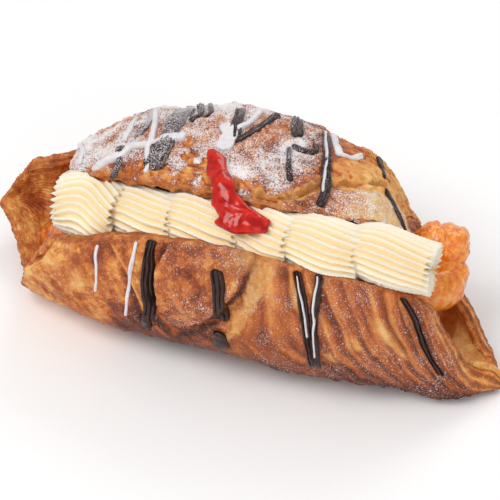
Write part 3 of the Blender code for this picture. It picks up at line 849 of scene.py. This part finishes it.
def add_apricot(material):
    """Filling carried along its path, its radius swollen and pinched into lumps."""
    control = np.stack([APRICOT_X, APRICOT_Y, APRICOT_Z], -1)
    length = np.concatenate([[0.0], np.cumsum(np.linalg.norm(np.diff(control, axis=0), axis=1))])
    station = length[-1] * np.linspace(0.002, 0.998, 330)
    path = np.stack([through(length, control[:, k], station) for k in range(3)], -1)
    ahead = unit(np.gradient(path, axis=0))
    side = unit(np.cross(ahead, [0.0, 0.0, 1.0]))
    up = np.cross(side, ahead)
    turn = np.linspace(0.0, 2 * np.pi, 110, endpoint=False)[None, :]
    rounding = np.sqrt(1 - (1 - np.clip(station / 5.0, 0, 1)) ** 2)
    rounding = rounding * np.sqrt(1 - (1 - np.clip((length[-1] - station) / 7.0, 0, 1)) ** 2)
    across = np.cos(turn)[..., None] * side[:, None] + np.sin(turn)[..., None] * up[:, None]
    radius = (through(length, APRICOT_R, station) * rounding)[:, None, None]
    base = path[:, None] + radius * across
    lumps = 1.1 * cloud(base, 7.5, 71) + 0.35 * cloud(base, 2.4, 75)
    ring = base + across * (lumps * rounding[:, None])[..., None]
    # deep marks the filling's left end, darkened partly as painted shade
    looks = {"sugar": 0.08 * ease(ring[..., 0], 55.0, 62.0), "deep": ease(-ring[..., 0], 50.0, 62.0)}
    add_tube("apricot_filling", ring, material, ["apricot_filling"], looks)
    for number, (middle, radii) in enumerate(MOUND_LUMPS, 1):
        up = np.linspace(0.03, np.pi - 0.03, 90)[:, None]
        way = np.stack([-np.cos(up) + 0 * turn, np.sin(up) * np.cos(turn), np.sin(up) * np.sin(turn)], -1)
        ball = np.array(middle) + way * np.array(radii)
        ball = ball + way * (1.3 * cloud(ball, 6.0, 73) + 0.45 * cloud(ball, 2.2, 75))[..., None]
        looks = {"sugar": 0.10 + 0.16 * ease(way[..., 2], -0.2, 0.9), "deep": 0 * up + 0 * turn}
        add_tube("apricot_mound_%d" % number, ball, material, (), looks)


def jam_bed(x, share):
    """Surface the jam lies on: down the lid, over its edge and on to the cream."""
    gone = share / JAM_FOLD
    lid_angle = JAM_LID_ANGLES[0] + np.ptp(JAM_LID_ANGLES) * np.clip(gone, 0, 1)
    cream_angle = JAM_CREAM_ANGLES[0] + np.ptp(JAM_CREAM_ANGLES) * np.clip(gone - 1.22, 0, 1)
    turn = np.radians(cream_angle)
    lid = skin(x, lid_angle) + skin_normal(x, lid_angle) * 0.2
    reach = max(SHELL_RADII[2:4]) - 0.3
    cream = spine(x) + reach * np.stack([0 * turn, np.cos(turn), np.sin(turn)], -1)
    onto = ease(share, 0.42, 0.58)[..., None]
    over = JAM_LIFT * np.exp(-((share - 0.50) / 0.11) ** 2)[..., None]
    return (1 - onto) * lid + onto * cream + over * np.array([0.0, -0.6, 0.8])


def add_jam(material):
    """Red jam: a flattened drop whose outline wanders, domed and a little lumpy."""
    share = (1 - np.cos(np.linspace(0.02, np.pi - 0.02, 120)))[:, None] / 2
    turn = np.linspace(0, 2 * np.pi, 128, endpoint=False)[None, :]
    side = np.cos(turn)
    upper = np.sin(turn)
    rounding = np.sqrt(1 - np.abs(2 * share - 1) ** 6)
    wander = 1 + 0.14 * np.sin(9 * share + 1.5 * np.sign(side)) + 0.08 * np.sin(23 * share)
    flat = 0 * share + 0 * side
    course = np.stack([9 * share + flat, 2 * np.sign(side) + flat, flat], -1)
    wander = wander + 0.14 * noise(course, 0.8, 83)
    x = through(JAM_SHARE, JAM_CENTRE_X, share)
    x = x + through(JAM_SHARE, JAM_HALF_WIDTH, share) * rounding * side * wander
    place = share + 0 * x
    bed = jam_bed(x, place)
    along = unit(jam_bed(x, place + 0.01) - jam_bed(x, place - 0.01))
    outward = np.stack([0 * x, -along[..., 2], along[..., 1]], -1)
    outward = outward * np.sign((outward * [0, -0.5, 1]).sum(-1, keepdims=True))
    dome = np.where(upper > 0, np.abs(upper) ** 0.7, 0.3 * upper)
    height = JAM_THICKNESS * rounding * dome + 0.9 * cloud(bed, 5.0, 81) * np.clip(upper, 0, 1)
    add_tube("red_jam", bed + outward * height[..., None], material, ["red_jam"])


def add_line(name, material, path, width, thick, ridges=0, sugar=0.1, wander=0.3, seed=1):
    """A piped line laid on the crust along (station, angle) corners.

    The line's cross-section is a low dome with lengthwise ridges; its width
    swells and wanders a little, and its ends are drawn in round.  It follows
    the crust's height, mostly that of the highest ring near by, so that it
    bridges narrow hollows, and the result is averaged over seven rings.
    """
    path = np.asarray(path, float)
    steps = np.hypot(np.diff(path[:, 0]), MM_PER_DEGREE * np.diff(path[:, 1]))
    span = np.concatenate([[0.0], np.cumsum(steps)])
    t = np.linspace(0.0, span[-1], max(12, int(span[-1] / 0.45)))
    soften = np.full(7, 1 / 7)
    x = np.convolve(np.pad(through(span, path[:, 0], t), 3, "edge"), soften, "valid")
    angle = np.convolve(np.pad(through(span, path[:, 1], t), 3, "edge"), soften, "valid")
    course = np.stack([x, angle, 0 * x + seed], -1)
    course = course * [1, MM_PER_DEGREE, 1]
    x = x + wander * noise(course, 5.0, seed)
    slope = unit(np.stack([np.gradient(x), MM_PER_DEGREE * np.gradient(angle)], -1))
    from_end = np.clip(np.minimum(t, t[-1] - t) / (width / 2), 0, 1)
    ends = np.sqrt(np.clip(1 - (1 - from_end) ** 2, 0.02, 1))
    swell = (1 + 0.22 * noise(course, 5.0, seed + 3)) * ends
    turn = np.linspace(0, 2 * np.pi, 26, endpoint=False)[None, :]
    side = np.cos(turn) * (width / 2 * swell)[:, None]
    px = x[:, None] - slope[:, 1:] * side
    pa = angle[:, None] + slope[:, :1] * side / MM_PER_DEGREE
    base = trim_right_end(skin(px, pa))
    normal = skin_normal(px, pa)
    rise = crust(px, pa, base)[0]
    reach = [np.roll(np.pad(rise, ((4, 4), (0, 0)), "edge"), k, 0)[4:-4] for k in range(-4, 5)]
    rise = 0.35 * rise + 0.65 * np.maximum.reduce(reach)
    padded = np.pad(rise, ((3, 3), (0, 0)), "edge")
    rise = np.mean([padded[k:k + len(rise)] for k in range(7)], axis=0)
    dome = np.where(np.sin(turn) > 0, np.abs(np.sin(turn)) ** 0.6, 0.8 * np.sin(turn))
    comb = 0.34 * thick * np.cos(ridges * np.pi * np.cos(turn)) * (np.sin(turn) > 0) if ridges else 0.0
    lumps = 0.16 * thick * noise(base, 1.6, seed + 5)
    lift = rise + (thick * dome + comb + lumps) * (0.4 + 0.6 * ends[:, None])
    rings = base + normal * lift[..., None]
    dust = np.clip(sugar * (1.3 - 0.6 * (t / t[-1])[:, None]) + 0 * side, 0, 1)
    add_tube(name, rings, material, (), {"sugar": dust}, 70.0)


# name, (station, angle) corners, width, thickness, ridges, sugar
CHOCOLATE_LINES = (
    ("a", ((-42, 282), (-40.5, 291), (-40, 300)), 2.2, 0.9, 0, 0.55),
    ("a_blob", ((-42, 280), (-41, 285)), 4.2, 1.4, 0, 0.5),
    ("b", ((-28, 246), (-27, 262), (-26, 280), (-27, 296)), 6.4, 1.4, 4, 0.62),
    ("b_second", ((-24, 244), (-21, 256), (-22, 264)), 2.4, 1.0, 2, 0.5),
    ("b_third", ((-20.5, 243), (-18, 254), (-20, 260)), 1.8, 0.9, 0, 0.45),
    ("b_left", ((-39, 248), (-37, 262), (-38, 276)), 2.6, 0.8, 2, 0.85),
    ("c", ((-10, 243), (-7, 260), (-5, 274)), 3.2, 1.1, 2, 0.35),
    ("d", ((3, 243), (1, 256), (-2, 268), (-4, 276)), 2.2, 0.9, 0, 0.3),
    ("e", ((8, 238), (10, 248), (13, 259)), 3.4, 1.2, 2, 0.4),
    ("f_hook", ((12, 265), (16, 265), (20, 262), (18.5, 257)), 1.9, 0.9, 0, 0.35),
    ("f", ((12.0, 267), (14.5, 277), (17.5, 286)), 1.7, 0.8, 0, 0.4),
    ("g", ((19, 242), (23, 258), (26, 272), (28.5, 284), (29, 294)), 2.8, 1.1, 2, 0.35),
    ("h", ((36, 232), (41, 240), (44, 247)), 2.2, 0.9, 0, 0.15),
    ("i", ((46, 256), (51, 263), (56, 271)), 2.2, 0.9, 0, 0.2),
    ("j", ((-20, -33), (-20, -12), (-19.5, 6), (-20.5, 14)), 3.8, 1.2, 3, 0.05),
    ("j_drop", ((-20.6, 11), (-21, 17), (-20.5, 24)), 3.3, 1.5, 0, 0.02),
    ("k", ((4, -27), (5.5, -12), (6, 2)), 4.2, 1.2, 3, 0.04),
    ("k_blob", ((5.2, 11), (5, 18), (4.5, 26)), 4.6, 1.7, 0, 0.02),
    ("l", ((27.5, -36), (31.5, -19), (34, 2), (35.8, 20)), 3.0, 1.0, 3, 0.08),
    ("m", ((34.6, -38), (35.6, -14), (36.6, 4), (37, 22)), 2.5, 1.0, 2, 0.08),
    ("n", ((58.5, -47), (63.5, -40), (69, -25), (74.5, -8)), 2.8, 1.0, 2, 0.1),
)
# name, (station, angle) corners, width, thickness
ICING_LINES = (
    ("a", ((-38, -27), (-38, -10), (-38, 2)), 1.0, 0.5),
    ("b", ((-25, -31), (-26, -12), (-27, 6), (-28, 16)), 1.1, 0.5),
    ("l", ((28, -34), (31.6, -20), (33.6, -2)), 0.8, 1.7),
    ("m", ((34.2, -37), (35.0, -17), (36.0, 0), (36.6, 10)), 0.8, 1.7),
    ("long", ((-49, 291), (-42, 286), (-38, 281.5), (-31, 283), (-26, 277), (-20, 276)), 2.5, 1.4),
    ("long_blob", ((-29, 279), (-25, 277), (-22, 277)), 4.2, 1.6),
    ("long_drop", ((-50, 292), (-47, 290)), 3.0, 1.2),
    ("upright", ((-38, 247), (-33, 270), (-30, 286), (-28, 298)), 1.8, 1.3),
    ("second", ((-44, 252), (-43, 264), (-42, 276)), 1.5, 0.8),
    ("blob", ((-11, 264), (-7, 272), (-7, 281)), 5.0, 1.2),
    ("blob_line", ((-8, 273), (-4, 260), (-3, 250), (-5, 242)), 2.0, 1.1),
    ("y_stem", ((20, 234), (24, 247), (27.5, 257)), 2.6, 0.9),
    ("y_arm", ((27, 256), (31, 252), (33, 245)), 2.0, 0.8),
    ("g", ((18.5, 240), (22.5, 257), (25.5, 271), (28, 286)), 1.0, 1.6),
    ("left", ((-62, 262), (-58, 274), (-56, 286)), 1.4, 0.7),
)

# ============================ putting it together ==============================
x_fine = stations_along(0.62)
x_plain = stations_along(1.4)
dough = paint_dough()
FRONT_PARTS = (("pocket", 0.22, 0.0, 12), ("front_edge", 1, 0, 14), ("skin", "lip", 95.0, 150))
LID_PARTS = (("skin", 185.0, "lid", 170), ("lid_edge", 0, 1, 12), ("pocket", 1.0, 0.78, 10))
for name, x, parts, nodes in (
        ("dough_front", x_fine, FRONT_PARTS, ("pastry",)),
        ("dough_lid", x_fine, LID_PARTS, ()),
        ("dough_base", x_plain, (("skin", 94.0, 186.0, 70),), ()),
        ("dough_pocket", x_fine, (("pocket", 0.79, 0.21, 60),), ())):
    add_dough(name, x, parts, dough, nodes)
cream = paint_cream()
for number in range(1, 7):
    add_cream(number, cream)
add_apricot(paint_apricot())
add_jam(paint_jam())
chocolate = paint_chocolate()
for seed, (name, path, width, thick, ridges, sugar) in enumerate(CHOCOLATE_LINES, 100):
    add_line("chocolate_" + name, chocolate, path, width, thick, ridges, sugar, 0.35, seed)
icing = paint_icing()
for seed, (name, path, width, thick) in enumerate(ICING_LINES, 200):
    add_line("icing_" + name, icing, path, width, thick, 0, 0.0, 0.45, seed)


# ============================ floor, light, camera =============================
VIEW_ROUND = 20.0
VIEW_ABOVE = 40.0
VIEW_DISTANCE = 0.7
LENS = 151.2


def add_floor():
    """A wide white floor just below the pastry."""
    mesh = bpy.data.meshes.new("floor")
    mesh.from_pydata([(-3, -3, -0.0002), (3, -3, -0.0002), (3, 3, -0.0002), (-3, 3, -0.0002)], [],
                     [(0, 1, 2, 3)])
    floor = bpy.data.objects.new("floor", mesh)
    bpy.context.collection.objects.link(floor)
    paint = Paint("floor_white", Roughness=0.9, Specular_IOR_Level=0.0)
    mesh.materials.append(paint.finish((0.97, 0.97, 0.97, 1.0)))


def add_world(strength):
    """White all round to the camera, a softer white for the light it gives."""
    world = bpy.data.worlds.new("studio")
    world.use_nodes = True
    bpy.context.scene.world = world
    nodes, links = world.node_tree.nodes, world.node_tree.links
    background = nodes["Background"]
    background.inputs["Color"].default_value = (1, 1, 1, 1)
    path = nodes.new("ShaderNodeLightPath")
    share = nodes.new("ShaderNodeMix")
    links.new(path.outputs["Is Camera Ray"], share.inputs[0])
    share.inputs[2].default_value = strength
    share.inputs[3].default_value = 1.0
    links.new(share.outputs[0], background.inputs["Strength"])


def add_lamp(name, place, size, power):
    """A square soft lamp aimed at the pastry."""
    lamp = bpy.data.lights.new(name, "AREA")
    lamp.size = size
    lamp.energy = power
    holder = bpy.data.objects.new(name, lamp)
    holder.location = place
    holder.rotation_euler = (Vector((0, 0, 0.03)) - Vector(place)).to_track_quat("-Z", "Y").to_euler()
    bpy.context.collection.objects.link(holder)


def add_camera():
    """A long lens looking at the middle of the pastry from the right and above."""
    target = Vector((1.75, 1.8, 23.9)) * MM
    a, e = np.radians(VIEW_ROUND), np.radians(VIEW_ABOVE)
    away = Vector((np.sin(a) * np.cos(e), -np.cos(a) * np.cos(e), np.sin(e)))
    data = bpy.data.cameras.new("camera")
    data.sensor_width = 36.0
    data.lens = LENS
    data.clip_start = 0.01
    camera = bpy.data.objects.new("camera", data)
    camera.location = target + away * VIEW_DISTANCE
    camera.rotation_euler = (-away).to_track_quat("-Z", "Y").to_euler()
    bpy.context.collection.objects.link(camera)
    bpy.context.scene.camera = camera


add_floor()
add_world(0.50)
add_lamp("key", (-0.25, -0.42, 0.74), 0.45, 3.9)
add_lamp("fill", (0.65, -0.6, 0.35), 0.6, 1.5)
add_lamp("rim", (0.1, 0.7, 0.6), 0.5, 2.2)
add_camera()
bpy.context.scene.view_settings.view_transform = "Standard"
